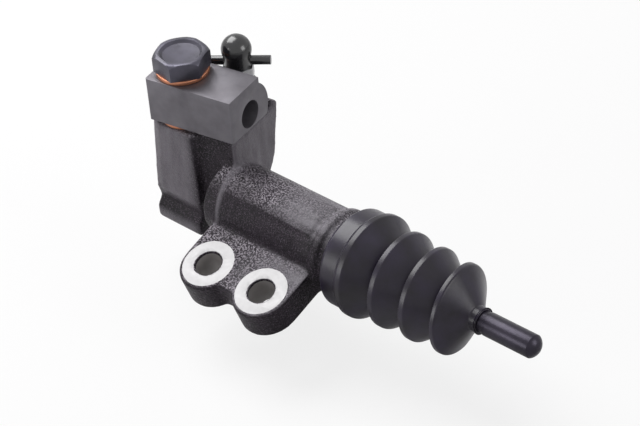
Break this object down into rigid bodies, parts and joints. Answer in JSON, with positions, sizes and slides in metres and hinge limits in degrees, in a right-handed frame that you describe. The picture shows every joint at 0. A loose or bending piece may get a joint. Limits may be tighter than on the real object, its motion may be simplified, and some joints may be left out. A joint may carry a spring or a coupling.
{
  "type": "clutch actuator",
  "caption": "Hydraulic clutch release cylinder: lugged casting with a clamped pipe union, bleeder, sprung piston, bellows boot and push rod.",
  "frame": {"origin": "middle of the two mounting lug holes, on the lugs' machined ring faces", "axes": "+X along the barrel towards the push rod, +Z along the union bolt and bleeder, +Y from the lugs towards the barrel"},
  "size_m": [0.1658, 0.0669, 0.0658],
  "materials": {
    "casting": "satin black paint",
    "union": "satin black",
    "bolt": "dark plated steel",
    "copper": "bare copper",
    "bleeder": "plated steel",
    "rubber": "black rubber",
    "piston": "machined",
    "spring": "spring steel",
    "rod": "black oxide steel"
  },
  "bodies": {
    "cylinder": {"cylinder_body": "casting", "pipe_union": "union", "banjo_bolt": "bolt", "union_washer_upper": "copper", "union_washer_lower": "copper", "stop_ring": "spring", "dust_boot": "rubber", "return_spring": "spring"},
    "piston": {"piston": "piston", "pressure_cup": "rubber", "guide_cup": "rubber", "spring_seat": "spring"},
    "rod": {"push_rod": "rod"},
    "bleeder": {"bleeder_screw": "bleeder"},
    "cap": {"bleeder_cap": "rubber"}
  },
  "joints": [
    {"name": "piston_slide", "type": "slide", "parent": "cylinder", "child": "piston", "axis": [1, 0, 0], "range_m": [-0.016, 0], "stiffness_N_per_m": 600, "springref_m": 0.02, "deforming": ["return_spring", "dust_boot"]},
    {"name": "rod_swing", "type": "hinge", "parent": "piston", "child": "rod", "pos_m": [0.026, 0.02708, 0.0052], "axis": [0, 1, 0], "range_deg": [-3, 3], "deforming": ["dust_boot"]},
    {"name": "bleeder_turn", "type": "hinge", "parent": "cylinder", "child": "bleeder", "pos_m": [-0.04083, 0.0492, 0.0338], "axis": [0, 0, 1], "range_deg": [0, 360]},
    {"name": "cap_lift", "type": "slide", "parent": "cylinder", "child": "cap", "axis": [0, 0, 1], "range_m": [0, 0.014]}
  ]
}
